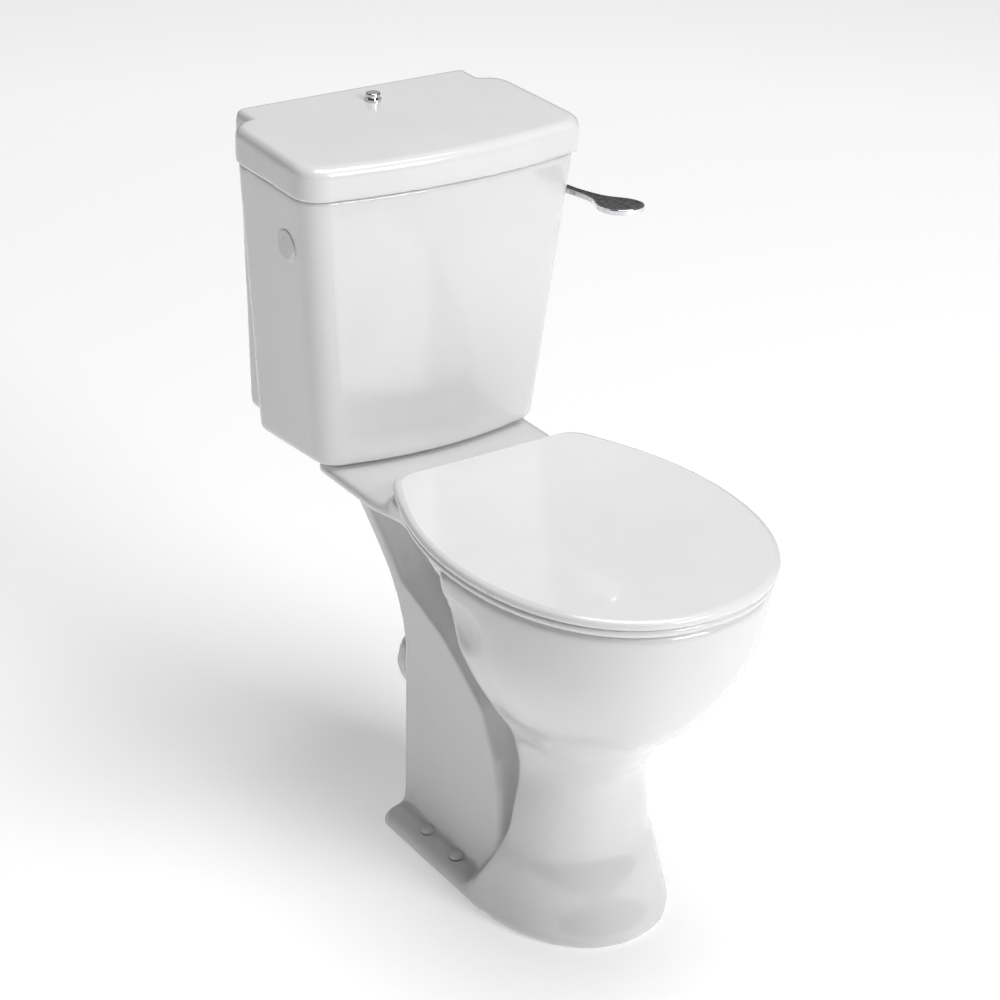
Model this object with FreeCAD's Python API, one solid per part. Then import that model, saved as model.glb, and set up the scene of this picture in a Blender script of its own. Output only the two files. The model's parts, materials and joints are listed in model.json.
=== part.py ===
import FreeCAD, Part
import math
import os

os.makedirs("parts", exist_ok=True)

V = FreeCAD.Vector
X_AXIS = V(1, 0, 0)
Y_AXIS = V(0, 1, 0)
Z_AXIS = V(0, 0, 1)
SIDES = (-1, 1)

# ---- driving dimensions, in mm: +Z up, -Y to the front, origin on the floor
# ---- at the centre of the four floor fixings
WALL_Y = 361.0
RIM_Z = 466.0
PLATFORM_Z = 452.0
PLATFORM_T = 15.0
PLATFORM_HW = 139.0
PLATFORM_TAIL_HW = 92.0
PLATFORM_TAIL_Y = 246.0
PLATFORM_REAR = 320.0
RIM_HW = 176.0
RIM_FRONT = -368.0
RIM_WIDE_Y = -135.0
RIM_STEP_Y = 77.0
RIM_DEPTH = 30.0
FOOT_HW = 116.0
FOOT_FRONT = -253.0
FOOT_REAR = 112.0
FOOT_WIDE_Y = -87.0
FLANGE_H = 24.0
FOOT_INSET = 12.0
CHINA_T = 12.0

# outer skin of the bowl and pedestal: level, half width, front, widest, lip
BOWL_LEVELS = (
    (0.0, 116.0, -253.0, -87.0, -84.0),
    (24.0, 113.5, -247.0, -91.0, -90.0),
    (46.0, 109.5, -237.0, -93.0, -102.0),
    (83.0, 102.0, -223.0, -97.0, -122.0),
    (130.0, 93.0, -213.0, -102.0, -134.0),
    (170.0, 85.5, -211.0, -108.0, -135.0),
    (200.0, 83.0, -218.0, -115.0, -135.0),
    (225.0, 89.0, -234.0, -121.0, -138.0),
    (250.0, 98.0, -252.0, -127.0, -143.0),
    (275.0, 113.0, -278.0, -132.0, -150.0),
    (305.0, 132.5, -307.0, -135.0, -153.0),
    (340.0, 152.0, -332.0, -135.0, -150.0),
    (380.0, 167.0, -351.0, -135.0, -136.0),
    (415.0, 173.0, -360.0, -135.0, -123.0),
    (440.0, 175.0, -365.0, -135.0, -116.0),
    (458.0, 176.0, -368.0, -135.0, -111.0),
    (464.0, 174.5, -366.5, -135.0, -110.0),
    (466.0, 171.0, -363.0, -135.0, -110.0),
)
# back of the bowl behind the lip, and the cavity: level, half width, front, rear
BACK_LEVELS = (
    (200.0, 50.0, -190.0, -80.0),
    (225.0, 62.0, -196.0, -74.0),
    (250.0, 74.0, -206.0, -64.0),
    (280.0, 88.0, -230.0, -50.0),
    (330.0, 108.0, -262.0, -14.0),
    (380.0, 128.0, -285.0, 14.0),
    (440.0, 142.0, -300.0, 36.0),
)
CAVITY_LEVELS = (
    (214.0, 40.0, -183.0, -95.0),
    (232.0, 50.0, -198.0, -88.0),
    (260.0, 64.0, -220.0, -76.0),
    (300.0, 86.0, -260.0, -52.0),
    (350.0, 110.0, -306.0, -24.0),
    (400.0, 126.0, -334.0, -2.0),
    (436.0, 133.0, -342.0, 10.0),
)
MOUTH = (124.0, -318.0, -6.0)
# edge of the rim behind the bowl's widest part: half width, y
RIM_FLANK = ((131.0, 62.0), (131.0, 45.0), (134.0, 20.0), (140.0, -6.0), (149.0, -40.0), (159.0, -74.0))
# trap column: level, rear face, flank half width, front end of the flank, half width of the core
COLUMN_LEVELS = (
    (0.0, 110.0, 88.0, -104.0, 44.0),
    (40.0, 111.0, 84.0, -102.0, 42.0),
    (100.0, 112.0, 83.0, -100.0, 41.0),
    (138.0, 112.0, 83.0, -96.0, 41.0),
    (184.0, 112.0, 83.0, -84.0, 41.0),
    (238.0, 112.0, 83.0, -58.0, 41.0),
    (267.0, 119.0, 83.0, -16.0, 41.0),
    (294.0, 131.0, 83.0, 29.0, 41.0),
    (309.0, 141.0, 83.0, 70.0, 41.0),
    (324.0, 152.0, 83.0, 116.0, 42.0),
    (345.0, 173.0, 83.0, 138.0, 43.0),
    (380.0, 210.0, 84.0, 174.0, 45.0),
    (404.0, 240.0, 85.0, 200.0, 47.0),
    (438.0, 288.0, 88.0, 240.0, 50.0),
)
COLUMN_FRONT = -150.0
COLUMN_R = 10.0
RECESS = 16.0
SPIGOT_R = 51.0
SPIGOT_BORE = 43.0
COLLAR_R = 56.0
COLLAR_END = 118.0
SPIGOT_Z = 175.0
SPIGOT_END = 180.0
TRAP_R = 30.0
TRAP_PATH = (
    (-125.0, 238.0),
    (-70.0, 230.0),
    (-22.0, 250.0),
    (14.0, 276.0),
    (46.0, 270.0),
    (60.0, 235.0),
    (78.0, 194.0),
    (112.0, SPIGOT_Z),
    (170.0, SPIGOT_Z),
)

GRIP_SIZE = (24.0, 50.0, 40.0)
GRIP_AT = (184.0, -146.0, 412.0)
GRIP_LEDGE = 436.0

FIX_X = 95.0
FIX_Y = 31.5
FIX_HOLE_R = 6.0
FIX_STUD_R = 3.5
CAP_R = 9.0

# cistern: half width and front at the foot and at the top of the tank
TANK_BASE = 455.0
TANK_TOP = 795.0
TANK_T = 10.0
TANK_BASE_HW = 150.0
TANK_TOP_HW = 182.0
TANK_BASE_FRONT = 156.0
TANK_TOP_FRONT = 130.0
TANK_BOW = 15.0
TANK_CORNER = 34.0
TANK_BASE_FLARE = 8.0
TANK_TOP_DRAW = 3.0
TANK_REAR = 328.0
TANK_REAR_CORNER = 22.0
STRIP_BASE = 468.0
STRIP_BASE_HW = 147.0
STRIP_TOP_HW = 154.0
LID_HW = 187.0
LID_FRONT = 124.0
LID_REAR = 331.0
LID_REAR_CORNER = 30.0
LID_ROUND = 11.0
LID_T = 9.0
LID_GAP = 0.4
LID_TOP = 833.5
LID_SLOPE = 0.0285
COUPLING_Y = 260.0
COUPLING_X = 75.0
BOLT_R = 4.0
SIDE_HOLE_Y = 207.0
SIDE_HOLE_Z = 730.0
SIDE_HOLE_R = 10.0
FLOOR_Z = TANK_BASE + 12
WALL_FIX_X = 100.0
WALL_FIX_Z = 700.0
WALL_FIX_R = 4.0
KNOB_Y = 314.0
KNOB_R = 10.0
FILL_X = 110.0
FILL_Y = 285.0
THREAD_R = 10.3
SHANK_R = 10.8
SHANK_Z = 445.0

# seat
RING_Z0 = 467.4
RING_T = 8.4
LID_Z0 = 477.0
SEAT_TOP = 488.0
SEAT_HW = 181.0
SEAT_FRONT = -372.0
SEAT_REAR = 70.0
SEAT_REAR_HW = 123.0
SEAT_WIDE_Y = -135.0
RING_HOLE = (104.0, -292.0, -56.0)
HINGE_Y = 63.0
HINGE_Z = 477.2
HINGE_X = 78.0
BARREL_R = 4.6
PIN_R = 2.5
POST_HALF = 7.0
EAR_W = 11.0
RUN = 0.06
AIR = 0.4

# flush works; the arm's plan is the reach from the pivot and half the width there
ARM_PLAN = (
    (-9.0, 3.0),
    (-4.0, 5.5),
    (16.0, 5.8),
    (44.0, 6.5),
    (64.0, 9.0),
    (78.0, 14.0),
    (92.0, 21.5),
    (109.0, 25.0),
    (124.0, 21.0),
    (132.0, 13.0),
    (135.0, 0.0),
)
ARM_T = 6.5
ARM_X = 11.5
ARM_SPLAY = 0.08
ARM_TIP = 4.2
PLUNGER_TOP = 712.0
PLUNGER_R = 11.0
LEVER_R = 5.0
BLADE_X = 19.0
BLADE_HALF = 3.0
BLADE_REACH = 52.0
LINK_Y0 = COUPLING_Y - 12
LINK_Y1 = COUPLING_Y - 7


def put(shape, name):
    shape.exportStep("parts/" + name + ".step")


def cyl(r, h, at, axis=Z_AXIS):
    return Part.makeCylinder(r, h, V(*at), axis)


def ring(r_out, r_in, h, at, axis=Z_AXIS):
    return cyl(r_out, h, at, axis).cut(cyl(r_in, h, at, axis))


def block(lo, hi):
    return Part.makeBox(hi[0] - lo[0], hi[1] - lo[1], hi[2] - lo[2], V(*lo))


def union(shapes):
    out = shapes[0]
    if len(shapes) > 1:
        out = out.multiFuse(shapes[1:])
    return out.removeSplitter()


def closed(points):
    curve = Part.BSplineCurve()
    curve.interpolate(Points=points, PeriodicFlag=True)
    return Part.Wire([curve.toShape()])


def hexagon(r, h, at, axis=Z_AXIS):
    start = V(*at)
    side = X_AXIS if abs(axis.x) < 0.5 else Y_AXIS
    other = axis.cross(side)
    corners = []
    for i in range(7):
        a = math.pi / 3 * i
        corners.append(start + side * (r * math.cos(a)) + other * (r * math.sin(a)))
    return Part.Face(Part.makePolygon(corners)).extrude(axis * h)


def super_arc(hw, wide, reach, start, end, n, steps=24):
    """Points of a superellipse about (0, wide); reach is its half length."""
    points = []
    for i in range(steps + 1):
        a = start + (end - start) * i / steps
        c, s = math.cos(a), math.sin(a)
        x = math.copysign(abs(c) ** (2 / n), c) * hw
        points.append((x, wide + math.copysign(abs(s) ** (2 / n), s) * reach))
    return points


def smooth(half, z, count=40):
    """Closed curve through evenly spaced points of a half outline and its mirror."""
    path = half + [(-x, y) for x, y in reversed(half[1:-1])] + half[:1]
    steps = [math.dist(a, b) for a, b in zip(path, path[1:])]
    total = sum(steps)
    points, walked, k = [], 0.0, 0
    for i in range(count):
        want = total * i / count
        while walked + steps[k] < want:
            walked += steps[k]
            k += 1
        t = (want - walked) / steps[k]
        (x0, y0), (x1, y1) = path[k], path[k + 1]
        points.append(V(x0 + (x1 - x0) * t, y0 + (y1 - y0) * t, z))
    return closed(points)


def egg(z, hw, front, rear, n=2.15):
    """Closed egg-shaped wire, widest half way."""
    wide = (front + rear) / 2
    return smooth(super_arc(hw, wide, rear - wide, math.pi / 2, -math.pi / 2, n), z, 24)


def lipped(z, hw, front, wide, lip, grow=0.0, n=2.15):
    """Front half of an egg, turned in behind a rounded lip."""
    hw, front, lip = hw + grow, front - grow, lip + grow
    length = wide - front
    start = math.asin((abs(lip - wide) / length) ** (n / 2)) * (1 if lip > wide else -1)
    front_half = super_arc(hw, wide, length, start, -math.pi / 2, n)
    edge = front_half[0][0]
    return smooth([(0.0, lip + 10), (edge - 16, lip + 10), (edge - 4, lip + 6)] + front_half, z, 48)


def tank_wire(z, hw, front, rear, rear_in, corner=TANK_CORNER, rear_corner=TANK_REAR_CORNER):
    """Bowed front and round corners; the sides draw in by rear_in towards the rear."""
    bend = 1 - math.sqrt(0.5)
    y1 = front + TANK_BOW
    mid, rear_mid = corner * bend, rear_corner * bend
    back = hw - rear_in
    a0, a1 = V(hw - corner, y1, z), V(hw, y1 + corner, z)
    b0, b1 = V(back, rear - rear_corner, z), V(back - rear_corner, rear, z)
    front_bend, rear_bend = V(hw - mid, y1 + mid, z), V(back - rear_mid, rear - rear_mid, z)
    mirrored = [V(-p.x, p.y, z) for p in (a0, a1, b0, b1, front_bend, rear_bend)]
    c0, c1, d0, d1, front_turn, rear_turn = mirrored
    edges = [Part.Arc(a0, front_bend, a1).toShape(), Part.makeLine(a1, b0)]
    edges += [Part.Arc(b0, rear_bend, b1).toShape(), Part.makeLine(b1, d1)]
    edges += [Part.Arc(d1, rear_turn, d0).toShape(), Part.makeLine(d0, c1)]
    edges += [Part.Arc(c1, front_turn, c0).toShape(), Part.Arc(c0, V(0, front, z), a0).toShape()]
    return Part.Wire(edges)


def loft(wires, ruled=False):
    return Part.makeLoft(wires, True, ruled)


# ---------------------------------------------------------------- pan
def bowl_skin():
    return loft([lipped(*level) for level in BOWL_LEVELS])


def bowl_back():
    return loft([egg(*level) for level in BACK_LEVELS])


def rim_slab():
    """Rear half of the rim, from the lip back to the step down to the platform."""
    wires = []
    for z, inset in ((RIM_Z - RIM_DEPTH, 2.0), (RIM_Z - 8, 0.0), (RIM_Z - 2.5, 1.5), (RIM_Z, 6.0)):
        hw = RIM_HW - 7 - inset
        front = super_arc(hw, RIM_WIDE_Y, RIM_WIDE_Y - RIM_FRONT - 16, 0, -math.pi / 2, 2.15)
        back, half = RIM_STEP_Y - inset, RIM_FLANK[0][0] - inset
        rear = [(0.0, back), (half - 12, back), (half - 3, back - 3)]
        rear += [(x - inset, y) for x, y in RIM_FLANK]
        wires.append(smooth(rear + front, z, 56))
    return loft(wires)


def platform():
    z0 = PLATFORM_Z - PLATFORM_T
    waist = RIM_FLANK[0][0] - 2
    half = [(waist, -20), (waist, 50), (PLATFORM_HW, 90), (PLATFORM_HW, PLATFORM_TAIL_Y - 34)]
    half += [(PLATFORM_TAIL_HW, PLATFORM_TAIL_Y), (PLATFORM_TAIL_HW, PLATFORM_REAR)]
    outline = half + [(-x, y) for x, y in reversed(half)]
    corners = [V(x, y, z0) for x, y in outline]
    slab = Part.Face(Part.makePolygon(corners + corners[:1])).extrude(V(0, 0, PLATFORM_T))
    upright = [e for e in slab.Edges if e.BoundBox.ZLength > 1 and e.BoundBox.YMin > 100]
    slab = slab.makeFillet(14, upright)
    rims = [e for e in slab.Edges if e.BoundBox.ZLength < 0.01 and e.BoundBox.YMax > 0]
    return slab.makeFillet(4, rims)


def column_wire(z, rear, flank, flank_front, core):
    """Flat flanks that turn in, behind the lip of the bowl, to a narrower core."""
    mid = COLUMN_R * (1 - math.sqrt(0.5))
    half = [V(core, COLUMN_FRONT, z), V(core, flank_front - RECESS, z), V(flank, flank_front, z)]
    half += [V(flank, rear - COLUMN_R, z), V(flank - COLUMN_R, rear, z)]
    other = [V(-p.x, p.y, z) for p in half]
    edges = [Part.makeLine(a, b) for a, b in zip(half[:3], half[1:4])]
    edges.append(Part.Arc(half[3], V(flank - mid, rear - mid, z), half[4]).toShape())
    edges.append(Part.makeLine(half[4], other[4]))
    edges.append(Part.Arc(other[4], V(mid - flank, rear - mid, z), other[3]).toShape())
    edges += [Part.makeLine(a, b) for a, b in zip(other[3:0:-1], other[2::-1])]
    edges.append(Part.makeLine(other[0], half[0]))
    return Part.Wire(edges)


def foot_flange():
    wires = []
    for z, inset in ((0.0, 0.0), (10.0, 0.6), (15.0, 3.0), (FLANGE_H, 9.0)):
        hw, back = FOOT_HW - inset, FOOT_REAR - inset
        reach = FOOT_WIDE_Y - FOOT_FRONT - inset - FOOT_INSET
        front = super_arc(hw, FOOT_WIDE_Y, reach, 0, -math.pi / 2, 1.95)
        rear = [(0.0, back), (hw - 16, back), (hw - 4, back - 4), (hw, back - 18)]
        wires.append(smooth(rear + front, z, 56))
    return loft(wires)


def trap_passage():
    points = [V(0, y, z) for y, z in TRAP_PATH]
    shapes = []
    for a, b in zip(points, points[1:]):
        shapes.append(Part.makeCylinder(TRAP_R, (b - a).Length, a, b - a))
        shapes.append(Part.makeSphere(TRAP_R, b))
    return union(shapes[:-1] + [Part.makeSphere(TRAP_R, points[0])])


def underside_hollow():
    pedestal = []
    for z, hw, front, wide, lip in BOWL_LEVELS[:6]:
        pedestal.append(lipped(z, hw, front, wide, lip, -CHINA_T))
    column = block((-54, -96, -1), (54, 94, 112))
    column = column.makeFillet(10, [e for e in column.Edges if e.BoundBox.ZMin > 100])
    return loft(pedestal), column


def finger_grip(side):
    """Scoop under the edge of the rim, open to the lip, with a flat ledge above it."""
    stretch = FreeCAD.Matrix()
    stretch.scale(*GRIP_SIZE)
    scoop = Part.makeSphere(1.0).transformGeometry(stretch)
    scoop.translate(V(side * GRIP_AT[0], GRIP_AT[1], GRIP_AT[2]))
    return scoop.common(block((-300, -300, 300), (300, 0, GRIP_LEDGE)))


def make_pan():
    body = loft([column_wire(*level) for level in COLUMN_LEVELS], True)
    for piece in (foot_flange(), bowl_back(), platform(), rim_slab(), bowl_skin()):
        body = body.fuse(piece)
    body = body.fuse(cyl(COLLAR_R, COLLAR_END - 60, (0, 60, SPIGOT_Z), Y_AXIS))
    body = body.fuse(cyl(SPIGOT_R, SPIGOT_END - 80, (0, 80, SPIGOT_Z), Y_AXIS))
    body = body.fuse(cyl(56, 40, (0, COUPLING_Y, PLATFORM_Z - 50)))
    body = body.cut(loft([egg(*level) for level in CAVITY_LEVELS]))
    mouth_hw, mouth_front, mouth_rear = MOUTH
    body = body.cut(loft([egg(z, mouth_hw, mouth_front, mouth_rear) for z in (430.0, 480.0)]))
    body = body.cut(trap_passage())
    body = body.cut(cyl(SPIGOT_BORE, 70, (0, SPIGOT_END - 60, SPIGOT_Z), Y_AXIS))
    for hollow in underside_hollow():
        body = body.cut(hollow)
    # inlet from the cistern and the duct forward to the rim
    body = body.cut(cyl(48, 30, (0, COUPLING_Y, PLATFORM_Z - 16)))
    body = body.cut(cyl(30, 46, (0, COUPLING_Y, PLATFORM_Z - 46)))
    body = body.cut(Part.makeCylinder(16, 250, V(0, COUPLING_Y, 422), V(0, -1, 0)))
    for sx in SIDES:
        body = body.cut(cyl(5.5, 60, (sx * COUPLING_X, COUPLING_Y, PLATFORM_Z - 40)))
        body = body.cut(cyl(20.5, 40, (sx * COUPLING_X, COUPLING_Y, PLATFORM_Z - PLATFORM_T - 40)))
        body = body.cut(cyl(6.5, 60, (sx * HINGE_X, HINGE_Y, RIM_Z - 40)))
        body = body.cut(finger_grip(sx))
        for sy in SIDES:
            body = body.cut(cyl(FIX_HOLE_R, FLANGE_H + 30, (sx * FIX_X, sy * FIX_Y, -1)))
    return body


pan = make_pan()
put(pan, "pan")


def floor_fixings():
    sleeves, caps = [], []
    for sx in SIDES:
        for sy in SIDES:
            at = (sx * FIX_X, sy * FIX_Y)
            body = ring(FIX_HOLE_R - 0.05, FIX_STUD_R, FLANGE_H, (*at, 0))
            flange = ring(CAP_R - 2, FIX_STUD_R, 1.6, (*at, FLANGE_H + 0.05))
            body = body.fuse(ring(FIX_HOLE_R - 0.05, FIX_STUD_R, 2, (*at, FLANGE_H - 1)))
            sleeves.append(body.fuse(flange).removeSplitter())
            dome = Part.makeSphere(14, V(*at, FLANGE_H - 8)).common(cyl(CAP_R, 20, (*at, FLANGE_H + 0.05)))
            inner = Part.makeSphere(12.6, V(*at, FLANGE_H - 8))
            inner = inner.common(cyl(CAP_R - 1.4, 20, (*at, FLANGE_H - 1)))
            caps.append(dome.cut(inner))
    put(Part.makeCompound(sleeves), "floor_sleeves")
    put(Part.makeCompound(caps), "floor_caps")


floor_fixings()


# ---------------------------------------------------------------- cistern
def tank_side(z):
    """Half width and front of the tank at a level."""
    f = (z - TANK_BASE) / (TANK_TOP - TANK_BASE)
    half = TANK_BASE_HW + f * (TANK_TOP_HW - TANK_BASE_HW)
    draw = f * (TANK_TOP_DRAW + TANK_BASE_FLARE) - TANK_BASE_FLARE
    return half, TANK_BASE_FRONT + f * (TANK_TOP_FRONT - TANK_BASE_FRONT), draw


def tank_loft(z0, z1, t, rear):
    wires = []
    for z in (z0, z1):
        hw, front, draw = tank_side(z)
        wires.append(tank_wire(z, hw - t, front + t, rear, draw, TANK_CORNER - t / 2))
    return loft(wires, True)


def rear_strip(z0, z1, t):
    """Narrower part of the tank that reaches the wall."""
    slant = (STRIP_TOP_HW - STRIP_BASE_HW) / (TANK_TOP - STRIP_BASE)
    lo = STRIP_BASE_HW + slant * (z0 - STRIP_BASE) - t
    hi = STRIP_BASE_HW + slant * (z1 - STRIP_BASE) - t
    y = TANK_REAR - 40
    corners = [V(lo, y, z0), V(hi, y, z1), V(-hi, y, z1), V(-lo, y, z0)]
    return Part.Face(Part.makePolygon(corners + corners[:1])).extrude(V(0, WALL_Y - t - y, 0))


def make_tank():
    main = tank_loft(TANK_BASE, TANK_TOP, 0.0, TANK_REAR)
    foot = [e for e in main.Edges if e.BoundBox.ZMax < TANK_BASE + 0.1]
    main = main.makeFillet(9, foot)
    strip = rear_strip(STRIP_BASE, TANK_TOP, 0.0)
    edges = [e for e in strip.Edges if e.BoundBox.ZLength > 100 and e.BoundBox.YMin > TANK_REAR]
    edges += [e for e in strip.Edges if e.BoundBox.YLength > 30 and e.BoundBox.ZMax < STRIP_BASE + 1]
    strip = strip.makeFillet(6, edges)
    body = main.fuse(strip).removeSplitter()
    hollow = tank_loft(FLOOR_Z, TANK_TOP + 1, TANK_T, TANK_REAR - TANK_T)
    hollow = hollow.fuse(rear_strip(FLOOR_Z + 20, TANK_TOP + 1, TANK_T))
    body = body.cut(hollow)
    body = body.cut(cyl(30, 40, (0, COUPLING_Y, TANK_BASE - 10)))
    for sx in SIDES:
        body = body.cut(cyl(5.5, 40, (sx * COUPLING_X, COUPLING_Y, TANK_BASE - 10)))
        body = body.cut(cyl(SIDE_HOLE_R, 60, (sx * 180 - 30, SIDE_HOLE_Y, SIDE_HOLE_Z), X_AXIS))
        body = body.cut(cyl(WALL_FIX_R, 40, (sx * WALL_FIX_X, WALL_Y - 30, WALL_FIX_Z), Y_AXIS))
    body = body.cut(cyl(SHANK_R + 0.5, 40, (FILL_X, FILL_Y, TANK_BASE - 10)))
    return body


tank = make_tank()
put(tank, "cistern_body")


def tilted(wire):
    """The lid's top falls a little to the front."""
    shear = FreeCAD.Matrix()
    shear.A32 = LID_SLOPE
    shear.A34 = -LID_SLOPE * LID_FRONT
    return wire.transformGeometry(shear)


def lid_shell(z0, t):
    top = LID_TOP - t
    r = LID_ROUND - t * 0.6
    levels = [(top - r, 0.0)]
    for i in range(1, 6):
        a = math.pi / 2 * i / 5
        levels.append((top - r + r * math.sin(a), r - r * math.cos(a)))
    hw = LID_HW - t
    strip = STRIP_TOP_HW + 2 - t
    rear, corner = LID_REAR - t, LID_REAR_CORNER - t / 2
    main = [tank_wire(z0, hw, LID_FRONT + t, rear, 3.0, 36.0 - t / 2, corner)]
    y0 = TANK_REAR - 60
    corners = [V(strip, y0, z0), V(strip, WALL_Y - t, z0), V(-strip, WALL_Y - t, z0), V(-strip, y0, z0)]
    back = [Part.makePolygon(corners + corners[:1])]
    for z, inset in levels:
        s = inset + t
        wire = tank_wire(z, LID_HW - s, LID_FRONT + s, rear - inset, 3.0, 36.0 - s / 2, corner - inset / 2)
        main.append(tilted(wire))
        x = strip - inset * 0.7
        corners = [V(x, y0, z), V(x, WALL_Y - t, z), V(-x, WALL_Y - t, z), V(-x, y0, z)]
        back.append(tilted(Part.makePolygon(corners + corners[:1])))
    return loft(main, True).fuse(loft(back, True)).removeSplitter()


def lid_height(y):
    return LID_TOP + LID_SLOPE * (y - LID_FRONT)


def make_lid():
    body = lid_shell(TANK_TOP + LID_GAP, 0.0)
    body = body.cut(lid_shell(TANK_TOP + LID_GAP - 1, LID_T))
    # locating lugs that drop inside the tank's mouth
    for sx in SIDES:
        for y in (200.0, 280.0):
            lug = block((sx * 160 - 5, y - 16, TANK_TOP - 10), (sx * 160 + 5, y + 16, TANK_TOP + 36))
            body = body.fuse(lug)
    top = lid_height(KNOB_Y)
    pillar = cyl(KNOB_R - 1, 34, (0, KNOB_Y, top - 38))
    body = body.fuse(pillar).removeSplitter()
    spot = cyl(KNOB_R + 1.5, 10, (0, KNOB_Y, top - 0.3))
    return body.cut(cyl(4.0, 80, (0, KNOB_Y, top - 70))).cut(spot)


lid = make_lid()
put(lid, "cistern_lid")


def make_knob():
    base = lid_height(KNOB_Y) - 0.3 + AIR
    foot = cyl(KNOB_R, 1.6, (0, KNOB_Y, base))
    neck = cyl(KNOB_R - 4, 2.2, (0, KNOB_Y, base + 1.6))
    head = cyl(KNOB_R - 1.5, 5.0, (0, KNOB_Y, base + 3.8))
    head = head.makeFillet(1.4, [e for e in head.Edges if e.BoundBox.ZLength < 0.01])
    screw = cyl(3.0, 84, (0, KNOB_Y, base - 84 + 1))
    return union([foot, neck, head, screw])


put(make_knob(), "lid_knob")


def make_bracket():
    plate = block((-18, KNOB_Y - 18, 770), (18, WALL_Y - TANK_T - AIR, 773))
    upright = block((-18, WALL_Y - TANK_T - AIR - 3, 735), (18, WALL_Y - TANK_T - AIR, 773))
    body = plate.fuse(upright).removeSplitter()
    return body.cut(cyl(3.4, 20, (0, KNOB_Y, 760)))


put(make_bracket(), "lid_bracket")


def coupling_kit():
    bolts, cones, pads, plates, wings = [], [], [], [], []
    under = PLATFORM_Z - PLATFORM_T
    for sx in SIDES:
        at = (sx * COUPLING_X, COUPLING_Y)
        head = cyl(9, 4, (*at, FLOOR_Z + 4.1))
        slot = block((-7, -0.8, FLOOR_Z + 6.6), (7, 0.8, FLOOR_Z + 9))
        slot.translate(V(*at, 0))
        shank = cyl(BOLT_R, FLOOR_Z + 4.1 - 398 + 1, (*at, 398))
        bolts.append(head.cut(slot).fuse(shank).removeSplitter())
        cones.append(ring(13, BOLT_R + 0.05, 4, (*at, FLOOR_Z + 0.05)))
        pads.append(ring(16, 6.0, 2.9, (*at, PLATFORM_Z + 0.05)))
        plates.append(ring(13, BOLT_R + 0.1, 2, (*at, under - 2.1)))
        hub = ring(7, BOLT_R + 0.05, 9, (*at, under - 11.3))
        for s in SIDES:
            wing = block((-1.3, 0, 0), (1.3, 14, 13))
            wing.translate(V(at[0], at[1] + (5.2 if s > 0 else -19.2), under - 18.5))
            hub = hub.fuse(wing)
        wings.append(hub.removeSplitter())
    put(Part.makeCompound(bolts), "coupling_bolts")
    put(Part.makeCompound(cones), "coupling_cone_washers")
    put(Part.makeCompound(pads), "coupling_pads")
    put(Part.makeCompound(plates), "coupling_plate_washers")
    put(Part.makeCompound(wings), "coupling_wing_nuts")
    doughnut = ring(47, 37.5, TANK_BASE - PLATFORM_Z + 15.9, (0, COUPLING_Y, PLATFORM_Z - 15.95))
    put(doughnut, "coupling_doughnut")


coupling_kit()


# ---------------------------------------------------------------- flush works
def flush_valve():
    y = COUPLING_Y
    tail = cyl(29.0, FLOOR_Z + 5 - 438, (0, y, 438))
    flange = cyl(40, 6, (0, y, FLOOR_Z + 3.1))
    throat = cyl(25, 60, (0, y, 430))
    cage = ring(38, 35, 84, (0, y, FLOOR_Z + 8))
    for i in range(4):
        a = math.pi / 4 + math.pi / 2 * i
        slot = block((-14, 20, FLOOR_Z + 12), (14, 50, FLOOR_Z + 70))
        slot.rotate(V(0, 0, 0), Z_AXIS, math.degrees(a))
        slot.translate(V(0, y, 0))
        cage = cage.cut(slot)
    top = ring(38, PLUNGER_R + 0.8, 4, (0, y, FLOOR_Z + 88))
    seat = ring(31, 25, 3, (0, y, FLOOR_Z + 9))
    body = union([tail, flange, cage, top, seat]).cut(throat)
    put(body, "flush_valve_cage")
    put(ring(39, 29.05, 2.9, (0, y, FLOOR_Z + 0.1)), "flush_valve_washer")
    nut = hexagon(36.5, 9, (0, y, TANK_BASE - 9.2)).cut(cyl(29.05, 9, (0, y, TANK_BASE - 9.2)))
    put(nut, "flush_valve_nut")


def flush_plunger():
    y = COUPLING_Y
    seal_z = FLOOR_Z + 12.2
    disc = cyl(30, 5, (0, y, seal_z + 3.05))
    tube = cyl(PLUNGER_R, PLUNGER_TOP - seal_z - 3.05, (0, y, seal_z + 3.05))
    lip = cyl(PLUNGER_R + 2, 4, (0, y, PLUNGER_TOP - 4))
    bore = cyl(PLUNGER_R - 2, 300, (0, y, seal_z - 5))
    put(union([disc, tube, lip]).cut(bore), "flush_plunger")
    put(ring(32.5, PLUNGER_R - 1, 3, (0, y, seal_z)), "flush_seal")
    collar = ring(PLUNGER_R + 4, PLUNGER_R + 0.05, 12, (0, y, PLUNGER_TOP - 18))
    arm = block((10, LINK_Y0, PLUNGER_TOP - 18), (30, LINK_Y1, PLUNGER_TOP - 10))
    stem = block((10, LINK_Y0, PLUNGER_TOP - 18), (28, LINK_Y1, SIDE_HOLE_Z + 12))
    window = block((-5.5, LINK_Y0 - 1, -5.6), (5.5, LINK_Y1 + 1, 5.6))
    window.translate(V(BLADE_X, 0, SIDE_HOLE_Z))
    tube_air = cyl(PLUNGER_R + 0.05, 60, (0, y, PLUNGER_TOP - 30))
    lip_air = cyl(PLUNGER_R + 2.3, 30, (0, y, PLUNGER_TOP - 4.5))
    link = union([collar, arm, stem]).cut(window).cut(tube_air).cut(lip_air)
    put(link, "lift_link")


flush_valve()
flush_plunger()


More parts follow.
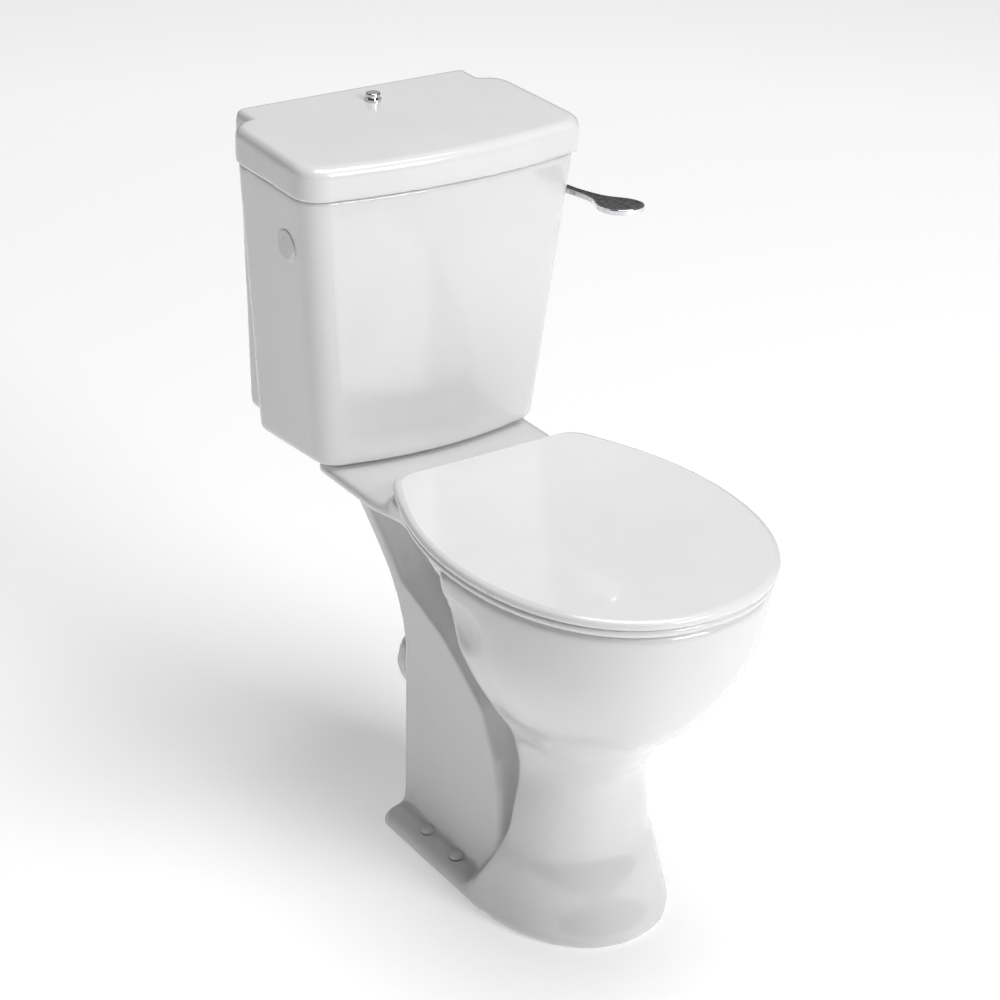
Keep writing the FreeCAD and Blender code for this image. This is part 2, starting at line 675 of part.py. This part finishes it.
def lever_set():
    y, z = SIDE_HOLE_Y, SIDE_HOLE_Z
    skin = tank_side(z)[0]
    out = skin + 1.6
    inside = skin - TANK_T - 2.0
    bore = LEVER_R + 0.05
    put(ring(14, 10.2, out + 5 - skin + 4, (skin - 4, y, z), X_AXIS).cut(tank), "lever_rosette")
    bush = ring(9.6, bore, out + 5 - inside + 14, (inside - 14, y, z), X_AXIS)
    put(bush, "lever_bush")
    nut = hexagon(15, 7, (inside - 7.2, y, z), X_AXIS).cut(cyl(9.65, 20, (inside - 12, y, z), X_AXIS))
    put(nut.cut(tank), "lever_back_nut")
    hub = out + 5 + AIR
    spindle = cyl(LEVER_R, hub - (inside - 30) + 4, (inside - 30, y, z), X_AXIS)
    boss = cyl(11, 13, (hub, y, z), X_AXIS)
    boss = boss.makeFillet(2.5, [e for e in boss.Edges if e.BoundBox.XMin > hub + 12])
    put(lever_arm(hub, y, z).fuse(boss).fuse(spindle).removeSplitter(), "flush_lever")
    rod = cyl(4.2, inside - 30.2 - (BLADE_X - BLADE_HALF), (BLADE_X - BLADE_HALF, y, z), X_AXIS)
    socket = ring(8, bore, 14, (inside - 30.2, y, z), X_AXIS)
    socket = socket.fuse(cyl(8, 6, (inside - 36.2, y, z), X_AXIS))
    blade = block((BLADE_X - BLADE_HALF, y - 6, z - 3), (BLADE_X + BLADE_HALF, y + BLADE_REACH, z + 3))
    put(union([rod, socket, blade]), "lever_inner_arm")
    # blanking plug in the other side's hole
    plug_out = -skin - 2.5
    disc = cyl(18, 8, (plug_out, y, z), X_AXIS)
    disc = disc.makeFillet(1.6, [e for e in disc.Edges if e.BoundBox.XMax < plug_out + 0.1]).cut(tank)
    stem = cyl(9.6, skin - inside + 16, (plug_out + 1, y, z), X_AXIS)
    put(disc.fuse(stem).removeSplitter(), "blanking_plug")
    nut = hexagon(15, 7, (-inside + 0.2, y, z), X_AXIS).cut(cyl(9.65, 20, (-inside - 5, y, z), X_AXIS))
    put(nut.cut(tank), "blanking_plug_nut")


def lever_arm(hub, y, z):
    """Flat arm that widens to a round paddle, tipped up a little to the front."""
    near = [(hub + ARM_X + reach * ARM_SPLAY + half, y - reach) for reach, half in ARM_PLAN]
    far = [(hub + ARM_X + reach * ARM_SPLAY - half, y - reach) for reach, half in reversed(ARM_PLAN[:-1])]
    outline = closed([V(px, py, z - ARM_T / 2) for px, py in near + far])
    arm = Part.Face(outline).extrude(V(0, 0, ARM_T))
    arm = arm.makeFillet(1.2, [e for e in arm.Edges if e.BoundBox.ZLength < 0.1])
    arm.rotate(V(0, y, z), X_AXIS, -ARM_TIP)
    return arm


lever_set()


def other_side(shape):
    return shape.mirror(V(0, 0, 0), X_AXIS)


def fill_valve():
    """Drawn on the -X side, then mirrored to the side of the lever."""
    x, y = -FILL_X, FILL_Y
    tail = cyl(THREAD_R, 30, (x, y, SHANK_Z - 20))
    shank = cyl(SHANK_R, FLOOR_Z + 6 - SHANK_Z, (x, y, SHANK_Z))
    flange = cyl(18, 4, (x, y, FLOOR_Z + 3.1))
    riser = cyl(11, 225, (x, y, FLOOR_Z + 5))
    head = cyl(19, 22, (x, y, 686))
    cap = cyl(16, 8, (x, y, 707))
    yoke = []
    for near in (-9, 4.5):
        yoke.append(block((x + 14, y + near, 694), (x + 34, y + near + 4.5, 710)))
    body = union([tail, shank, flange, riser, head, cap] + yoke)
    body = body.cut(cyl(5.0, 260, (x, y, 420)))
    body = body.cut(cyl(PIN_R, 40, (x + 28, y - 20, 702), Y_AXIS))
    put(other_side(body), "fill_valve_body")
    put(other_side(ring(17, SHANK_R + 0.05, 2.9, (x, y, FLOOR_Z + 0.1))), "fill_valve_washer")
    nut = hexagon(17, 8, (x, y, TANK_BASE - 8.2)).cut(cyl(SHANK_R + 0.05, 20, (x, y, TANK_BASE - 12)))
    put(other_side(nut), "fill_valve_nut")
    put(other_side(cyl(PIN_R - 0.02, 18, (x + 28, y - 9, 702), Y_AXIS)), "float_arm_pin")
    eye = cyl(5, 7.6, (x + 28, y - 3.8, 702), Y_AXIS)
    arm = block((x + 28, y - 3, 700), (x + 66, y + 3, 704))
    drop = block((x + 60, y - 3, 690), (x + 66, y + 3, 704))
    body = union([eye, arm, drop]).cut(cyl(PIN_R + RUN, 30, (x + 28, y - 15, 702), Y_AXIS))
    put(other_side(body), "float_arm")
    tub = block((x + 44, y - 24, 636), (x + 88, y + 24, 689.9))
    tub = tub.makeFillet(6, [e for e in tub.Edges if e.BoundBox.ZLength > 20])
    tub = tub.cut(block((x + 47, y - 21, 630), (x + 85, y + 21, 686)))
    put(other_side(tub), "float")


fill_valve()


# ---------------------------------------------------------------- seat
def seat_wire(z, inset):
    """Round front, drawn in to a straight back edge."""
    hw, rear = SEAT_HW - inset, SEAT_REAR - inset
    front = super_arc(hw, SEAT_WIDE_Y, SEAT_WIDE_Y - SEAT_FRONT - inset, 0, -math.pi / 2, 2.2)
    flank = []
    for i in range(11, 0, -1):
        t = i / 12
        x = SEAT_REAR_HW - inset + (SEAT_HW - SEAT_REAR_HW) * (1 - t**1.9)
        flank.append((x, SEAT_WIDE_Y + t * (rear - SEAT_WIDE_Y)))
    half = SEAT_REAR_HW - inset
    back = [(0.0, rear), (half - 6, rear), (half, rear - 5)]
    return smooth(back + flank + front, z, 64)


def barrel_air(x0, x1, extra):
    return cyl(BARREL_R + extra, x1 - x0, (x0, HINGE_Y, HINGE_Z), X_AXIS)


def make_ring():
    z0, z1 = RING_Z0, RING_Z0 + RING_T
    body = loft([seat_wire(z, i) for z, i in ((z0, 5.0), (z0 + 2.4, 2.4), (z1 - 2.4, 2.0), (z1, 4.5))])
    hw, front, rear = RING_HOLE
    body = body.cut(loft([egg(z, hw, front, rear) for z in (z0 - 2, z1 + 2)]))
    body = body.cut(block((-160, HINGE_Y - 10, z0 - 2), (160, SEAT_REAR + 5, z1 + 2)))
    for sx in SIDES:
        x0 = sx * HINGE_X + (POST_HALF + AIR if sx > 0 else -POST_HALF - AIR - EAR_W)
        ear = barrel_air(x0, x0 + EAR_W, 0.0)
        ear = ear.fuse(block((x0, HINGE_Y - 16, z0 + 1), (x0 + EAR_W, HINGE_Y - 2.5, HINGE_Z)))
        body = body.fuse(ear)
    body = body.removeSplitter()
    return body.cut(cyl(PIN_R + RUN, 400, (-200, HINGE_Y, HINGE_Z), X_AXIS))


def make_seat_lid():
    levels = ((LID_Z0, 2.5), (LID_Z0 + 3, 0.0), (LID_Z0 + 7, 0.3), (SEAT_TOP - 1.6, 2.5), (SEAT_TOP, 7.0))
    body = loft([seat_wire(z, i) for z, i in levels])
    under = loft([seat_wire(z, 9.0) for z in (LID_Z0 - 1, LID_Z0 + 4)])
    body = body.cut(under)
    for sx in SIDES:
        lo = sx * HINGE_X - (POST_HALF + EAR_W + 2 * AIR + 0.6)
        hi = sx * HINGE_X + (POST_HALF + EAR_W + 2 * AIR + 0.6)
        body = body.cut(barrel_air(lo, hi, 1.0))
        notch = POST_HALF + AIR
        x = sx * HINGE_X
        body = body.cut(block((x - notch, HINGE_Y, HINGE_Z - 8), (x + notch, SEAT_REAR + 9, HINGE_Z + 5.6)))
        x0 = sx * HINGE_X + (-POST_HALF - AIR - EAR_W if sx > 0 else POST_HALF + AIR)
        ear = barrel_air(x0, x0 + EAR_W, 0.0)
        ear = ear.fuse(block((x0, HINGE_Y - 3.2, HINGE_Z), (x0 + EAR_W, HINGE_Y + 3.2, SEAT_TOP - 3)))
        body = body.fuse(ear)
    body = body.removeSplitter()
    return body.cut(cyl(PIN_R + RUN, 400, (-200, HINGE_Y, HINGE_Z), X_AXIS))


put(make_ring(), "seat_ring")
put(make_seat_lid(), "seat_lid")


def seat_small_parts():
    ring_bumps, lid_bumps = [], []
    for sx in SIDES:
        for x, y in ((118.0, -250.0), (140.0, -60.0)):
            ring_bumps.append(cyl(8, 1.0, (sx * x, y, RING_Z0 - 1.05)))
        for x, y in ((118.0, -250.0), (138.0, -80.0)):
            lid_bumps.append(cyl(7, LID_Z0 + 4 - 476.2, (sx * x, y, 476.15)))
    put(Part.makeCompound(ring_bumps), "ring_buffers")
    put(Part.makeCompound(lid_bumps), "lid_buffers")
    posts, pins, screws, plugs = [], [], [], []
    for sx in SIDES:
        x = sx * HINGE_X
        foot = cyl(4.5, 2, (x, HINGE_Y, RIM_Z + 0.05))
        stem = block((x - POST_HALF, HINGE_Y - 2.5, RIM_Z + 0.6), (x + POST_HALF, HINGE_Y + 2.5, HINGE_Z))
        post = union([foot, stem, barrel_air(x - POST_HALF, x + POST_HALF, 0.0)])
        post = post.cut(cyl(PIN_R + 0.02, 60, (x - 30, HINGE_Y, HINGE_Z), X_AXIS))
        posts.append(post)
        reach = POST_HALF + EAR_W + AIR
        pins.append(cyl(PIN_R, 2 * reach, (x - reach, HINGE_Y, HINGE_Z), X_AXIS))
        screws.append(cyl(3.0, 30, (x, HINGE_Y, RIM_Z - 30)))
        plugs.append(ring(6.4, 3.05, 34, (x, HINGE_Y, RIM_Z - 36)))
    put(Part.makeCompound(posts), "hinge_posts")
    put(Part.makeCompound(pins), "hinge_pins")
    put(Part.makeCompound(screws), "hinge_screws")
    put(Part.makeCompound(plugs), "hinge_plugs")


seat_small_parts()
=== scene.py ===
import json
import math

import bpy
import numpy as np
from mathutils import Matrix, Vector


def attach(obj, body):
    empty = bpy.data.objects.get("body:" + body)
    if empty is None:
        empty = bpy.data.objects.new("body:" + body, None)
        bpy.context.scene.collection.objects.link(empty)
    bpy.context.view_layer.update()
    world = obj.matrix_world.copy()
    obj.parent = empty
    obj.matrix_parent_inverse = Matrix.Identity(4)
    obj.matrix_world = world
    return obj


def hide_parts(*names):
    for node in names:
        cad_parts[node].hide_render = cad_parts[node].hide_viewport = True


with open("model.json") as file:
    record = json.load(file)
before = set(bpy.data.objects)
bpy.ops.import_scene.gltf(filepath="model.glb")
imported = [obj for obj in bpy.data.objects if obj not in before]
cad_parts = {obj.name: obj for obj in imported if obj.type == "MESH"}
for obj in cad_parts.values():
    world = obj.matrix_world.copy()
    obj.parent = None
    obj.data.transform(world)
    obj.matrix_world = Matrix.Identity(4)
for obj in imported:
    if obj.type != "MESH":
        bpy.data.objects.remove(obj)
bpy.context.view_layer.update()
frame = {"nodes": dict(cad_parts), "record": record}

MM = 0.001

# camera: where it stands about the target, in degrees and mm, and its slide and rise in its own picture plane
AZIMUTH = -34.0
ELEVATION = 26.55
ROLL = 1.2
DISTANCE = 3110 * MM
SLIDE = 102.8 * MM
RISE = -76.5 * MM
TARGET = (0, 218 * MM, 450 * MM)
SENSOR = 36
LENS = 93.6

FLOOR_HALF = 12.0
FLOOR_Z = -0.5 * MM
WORLD_STRENGTH = 0.06
# area lights: name, place, aim, size, power
LIGHTS = (
    ("key", (1.1, -3.7, 2.8), (0, 0, 0.5), (1.8, 1.8), 98),
    ("top", (0.3, -0.3, 4.2), (0, 0, 0.4), (2.6, 2.6), 96),
    ("back", (2.0, 3.6, 3.4), (0, 0, 0.8), (4.4, 3.4), 17),
)
# backdrop: how far from the object its own glow starts and settles, and how strong it is at both
GLOW_REACH = (0.3, 3.0)
GLOW = (0.3, 0.52)

# china castings: name, node, body, voxel, rounds that soften the edges, rounds that fill the hollows
CASTS = (
    ("pan_cast", "pan", "fixed", 3.6 * MM, 6, 90),
    ("cistern_cast", "cistern_body", "fixed", 3.2 * MM, 5, 20),
    ("cistern_lid_cast", "cistern_lid", "cistern_lid", 2.0 * MM, 8, 12),
)


# ---------------------------------------------------------------- camera, floor and light
def make_camera():
    """Three-quarter view from the blank side of the cistern, looking down at the seat."""
    azimuth, elevation, roll = math.radians(AZIMUTH), math.radians(ELEVATION), math.radians(ROLL)
    back = Vector((
        math.sin(azimuth) * math.cos(elevation),
        -math.cos(azimuth) * math.cos(elevation),
        math.sin(elevation),
    ))
    side = Vector((math.cos(azimuth), math.sin(azimuth), 0))
    up = back.cross(side)
    data = bpy.data.cameras.new("camera")
    data.sensor_width = SENSOR
    data.lens = LENS
    camera = bpy.data.objects.new("camera", data)
    x = side * math.cos(roll) + up * math.sin(roll)
    y = up * math.cos(roll) - side * math.sin(roll)
    turn = Matrix((x, y, back)).transposed().to_4x4()
    place = Vector(TARGET) + side * SLIDE + up * RISE + back * DISTANCE
    camera.matrix_world = Matrix.Translation(place) @ turn
    bpy.context.scene.collection.objects.link(camera)
    bpy.context.scene.camera = camera


def make_floor():
    mesh = bpy.data.meshes.new("floor")
    corners = [(x * FLOOR_HALF, y * FLOOR_HALF, FLOOR_Z) for x, y in ((-1, -1), (1, -1), (1, 1), (-1, 1))]
    mesh.from_pydata(corners, [], [(0, 1, 2, 3)])
    floor = bpy.data.objects.new("floor", mesh)
    bpy.context.scene.collection.objects.link(floor)
    mesh.materials.append(studio_paper())


def area_light(name, place, aim, size, power):
    data = bpy.data.lights.new(name, "AREA")
    data.shape = "RECTANGLE"
    data.size, data.size_y = size
    data.energy = power
    light = bpy.data.objects.new(name, data)
    direction = Vector(aim) - Vector(place)
    turn = direction.to_track_quat("-Z", "Y").to_matrix().to_4x4()
    light.matrix_world = Matrix.Translation(Vector(place)) @ turn
    bpy.context.scene.collection.objects.link(light)


def make_light():
    scene = bpy.context.scene
    scene.view_settings.view_transform = "Standard"
    world = bpy.data.worlds.new("studio")
    world.use_nodes = True
    sky = world.node_tree.nodes["Background"]
    sky.inputs["Color"].default_value = (1, 1, 1, 1)
    sky.inputs["Strength"].default_value = WORLD_STRENGTH
    scene.world = world
    for light in LIGHTS:
        area_light(*light)


# ---------------------------------------------------------------- materials
def studio_paper():
    """Pale backdrop, lit a little from within away from the object so that it stays even."""
    material = bpy.data.materials.new("studio_paper")
    material.use_nodes = True
    tree = material.node_tree
    shader = tree.nodes["Principled BSDF"]
    shader.inputs["Base Color"].default_value = (0.9, 0.9, 0.9, 1)
    shader.inputs["Roughness"].default_value = 0.9
    shader.inputs["Emission Color"].default_value = (1, 1, 1, 1)
    length = tree.nodes.new("ShaderNodeVectorMath")
    length.operation = "LENGTH"
    tree.links.new(tree.nodes.new("ShaderNodeTexCoord").outputs["Object"], length.inputs[0])
    glow = tree.nodes.new("ShaderNodeMapRange")
    glow.inputs["From Min"].default_value, glow.inputs["From Max"].default_value = GLOW_REACH
    glow.inputs["To Min"].default_value, glow.inputs["To Max"].default_value = GLOW
    tree.links.new(length.outputs["Value"], glow.inputs["Value"])
    tree.links.new(glow.outputs["Result"], shader.inputs["Emission Strength"])
    return material


class Surface:
    """A Principled material whose colour, roughness and relief come from solid noise."""

    def __init__(self, name):
        self.material = bpy.data.materials.new(name)
        self.material.use_nodes = True
        self.tree = self.material.node_tree
        self.shader = self.tree.nodes["Principled BSDF"]
        self.place = self.tree.nodes.new("ShaderNodeTexCoord").outputs["Object"]
        self.relief = None

    def fixed(self, **values):
        for name, value in values.items():
            self.shader.inputs[name.replace("_", " ").title().replace("Ior", "IOR")].default_value = value
        return self

    def noise(self, scale, detail=2.0, stretch=None):
        node = self.tree.nodes.new("ShaderNodeTexNoise")
        node.inputs["Scale"].default_value = scale
        node.inputs["Detail"].default_value = detail
        source = self.place
        if stretch:
            mapping = self.tree.nodes.new("ShaderNodeMapping")
            mapping.inputs["Scale"].default_value = stretch
            self.tree.links.new(source, mapping.inputs["Vector"])
            source = mapping.outputs["Vector"]
        self.tree.links.new(source, node.inputs["Vector"])
        return node.outputs["Fac"]

    def ramp(self, factor, stops):
        """stops are (position, colour) pairs."""
        node = self.tree.nodes.new("ShaderNodeValToRGB")
        elements = node.color_ramp.elements
        while len(elements) < len(stops):
            elements.new(0.5)
        for element, (position, colour) in zip(elements, stops):
            element.position = position
            element.color = (*colour, 1)
        self.tree.links.new(factor, node.inputs["Fac"])
        return node.outputs["Color"]

    def colour(self, factor, stops):
        self.tree.links.new(self.ramp(factor, stops), self.shader.inputs["Base Color"])
        return self

    def roughness(self, factor, low, high):
        node = self.tree.nodes.new("ShaderNodeMapRange")
        node.inputs["From Min"].default_value = 0.3
        node.inputs["From Max"].default_value = 0.7
        node.inputs["To Min"].default_value = low
        node.inputs["To Max"].default_value = high
        self.tree.links.new(factor, node.inputs["Value"])
        self.tree.links.new(node.outputs["Result"], self.shader.inputs["Roughness"])
        return self

    def bump(self, factor, strength, distance):
        """Adds one layer of relief, distance in metres."""
        node = self.tree.nodes.new("ShaderNodeBump")
        node.inputs["Strength"].default_value = strength
        node.inputs["Distance"].default_value = distance
        self.tree.links.new(factor, node.inputs["Height"])
        if self.relief:
            self.tree.links.new(self.relief, node.inputs["Normal"])
        self.relief = node.outputs["Normal"]
        self.tree.links.new(self.relief, self.shader.inputs["Normal"])
        return self


def glazed_china():
    s = Surface("china_glaze")
    s.fixed(coat_weight=0.4, coat_roughness=0.03, coat_ior=1.5)
    s.colour(s.noise(7.0, 3.0), ((0.3, (0.79, 0.79, 0.785)), (0.7, (0.83, 0.83, 0.83))))
    s.roughness(s.noise(23.0, 3.0), 0.10, 0.19)
    s.bump(s.noise(9.0, 1.0), 0.15, 0.0006)
    s.bump(s.noise(420.0, 2.0), 0.1, 0.00004)
    return s.material


def seat_plastic():
    s = Surface("seat_plastic")
    s.fixed(coat_weight=0.3, coat_roughness=0.02)
    s.colour(s.noise(11.0, 2.0), ((0.3, (0.82, 0.82, 0.82)), (0.7, (0.85, 0.85, 0.85))))
    s.roughness(s.noise(60.0, 4.0, (1.0, 0.25, 1.0)), 0.08, 0.17)
    s.bump(s.noise(14.0, 1.0), 0.15, 0.0004)
    s.bump(s.noise(900.0, 2.0), 0.1, 0.00003)
    return s.material


def chrome():
    s = Surface("chrome")
    s.fixed(metallic=1.0)
    s.colour(s.noise(90.0, 3.0), ((0.3, (0.72, 0.73, 0.75)), (0.7, (0.80, 0.81, 0.83))))
    s.roughness(s.noise(160.0, 4.0), 0.06, 0.12)
    s.bump(s.noise(60.0, 1.0), 0.05, 0.00005)
    return s.material


def moulded(name, dark, light, low=0.35, high=0.5):
    s = Surface(name)
    s.colour(s.noise(45.0, 3.0), ((0.3, dark), (0.7, light)))
    s.roughness(s.noise(130.0, 3.0), low, high)
    s.bump(s.noise(1400.0, 3.0), 0.2, 0.00005)
    return s.material


def metal(name, dark, light, low, high, stretch=None):
    s = Surface(name)
    s.fixed(metallic=1.0)
    s.colour(s.noise(70.0, 4.0), ((0.3, dark), (0.7, light)))
    s.roughness(s.noise(240.0, 3.0, stretch), low, high)
    s.bump(s.noise(700.0, 3.0, stretch), 0.2, 0.00005)
    return s.material


def make_materials():
    return {
        "china": glazed_china(),
        "seat_plastic": seat_plastic(),
        "chrome": chrome(),
        "white_plastic": moulded("white_plastic", (0.76, 0.76, 0.755), (0.81, 0.81, 0.81), 0.25, 0.38),
        "works_plastic": moulded("works_plastic", (0.68, 0.69, 0.69), (0.74, 0.75, 0.76)),
        "blue_plastic": moulded("blue_plastic", (0.05, 0.15, 0.42), (0.07, 0.2, 0.5)),
        "black_rubber": moulded("black_rubber", (0.012, 0.012, 0.012), (0.03, 0.03, 0.03), 0.55, 0.75),
        "white_rubber": moulded("white_rubber", (0.6, 0.6, 0.59), (0.68, 0.68, 0.67), 0.5, 0.7),
        "zinc_steel": metal("zinc_steel", (0.45, 0.46, 0.48), (0.6, 0.61, 0.63), 0.25, 0.45),
        "brass_thread": metal("brass_thread", (0.6, 0.42, 0.18), (0.75, 0.56, 0.27), 0.2, 0.4),
    }


def dress_nodes(materials):
    for part in frame["record"]["subparts"]:
        node = frame["nodes"][part["node"]]
        material = materials[part["material_slot"]]
        for slot in node.material_slots:
            slot.material = material


# ---------------------------------------------------------------- cast china, with every edge softened
def voxel_mesh(node, voxel):
    """Even mesh of a CAD node's outside, as vertex and quad arrays."""
    source = frame["nodes"][node]
    copy = bpy.data.objects.new("copy", source.data.copy())
    bpy.context.scene.collection.objects.link(copy)
    remesh = copy.modifiers.new("remesh", "REMESH")
    remesh.mode = "VOXEL"
    remesh.voxel_size = voxel
    graph = bpy.context.evaluated_depsgraph_get()
    mesh = copy.evaluated_get(graph).to_mesh()
    points = np.empty(len(mesh.vertices) * 3)
    mesh.vertices.foreach_get("co", points)
    corners = np.empty(len(mesh.loops), np.int64)
    mesh.loops.foreach_get("vertex_index", corners)
    edges = np.empty(len(mesh.edges) * 2, np.int64)
    mesh.edges.foreach_get("vertices", edges)
    copy.to_mesh_clear()
    bpy.data.objects.remove(copy)
    return points.reshape(-1, 3), corners.reshape(-1, 4), edges.reshape(-1, 2)


def relax(points, edges, rounds, share=0.5):
    """Moves every point part of the way to the mean of its neighbours, several times."""
    count = len(points)
    a, b = edges[:, 0], edges[:, 1]
    degree = np.bincount(a, minlength=count) + np.bincount(b, minlength=count)
    out = points.copy()
    for _ in range(rounds):
        mean = np.empty_like(out)
        for axis in range(3):
            total = np.bincount(a, out[b, axis], count) + np.bincount(b, out[a, axis], count)
            mean[:, axis] = total / degree
        out += share * (mean - out)
    return out


def normals_of(points, quads):
    cross = np.cross(points[quads[:, 2]] - points[quads[:, 0]], points[quads[:, 3]] - points[quads[:, 1]])
    total = np.zeros_like(points)
    for corner in range(4):
        for axis in range(3):
            total[:, axis] += np.bincount(quads[:, corner], cross[:, axis], len(points))
    return total / np.maximum(np.linalg.norm(total, axis=1, keepdims=True), 1e-12)


def soft_cast(name, node, body, voxel, edge_rounds, hollow_rounds, material):
    """A china casting: outer edges rounded a little, inner corners filled much more, as glaze does."""
    points, quads, edges = voxel_mesh(node, voxel)
    crisp = relax(points, edges, edge_rounds)
    filled = relax(crisp, edges, hollow_rounds)
    normal = normals_of(crisp, quads)
    out = np.sum((filled - crisp) * normal, axis=1)
    out = relax(np.maximum(out, 0.0)[:, None].repeat(3, 1), edges, 6)[:, :1]
    final = relax(crisp + normal * out, edges, 3)
    mesh = bpy.data.meshes.new(name)
    mesh.from_pydata(final.tolist(), [], quads.tolist())
    mesh.shade_smooth()
    mesh.materials.append(material)
    piece = bpy.data.objects.new(name, mesh)
    bpy.context.scene.collection.objects.link(piece)
    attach(piece, body)
    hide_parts(node)


# ---------------------------------------------------------------- the whole scene
make_camera()
make_floor()
make_light()
materials = make_materials()
dress_nodes(materials)
for cast in CASTS:
    soft_cast(*cast, materials["china"])
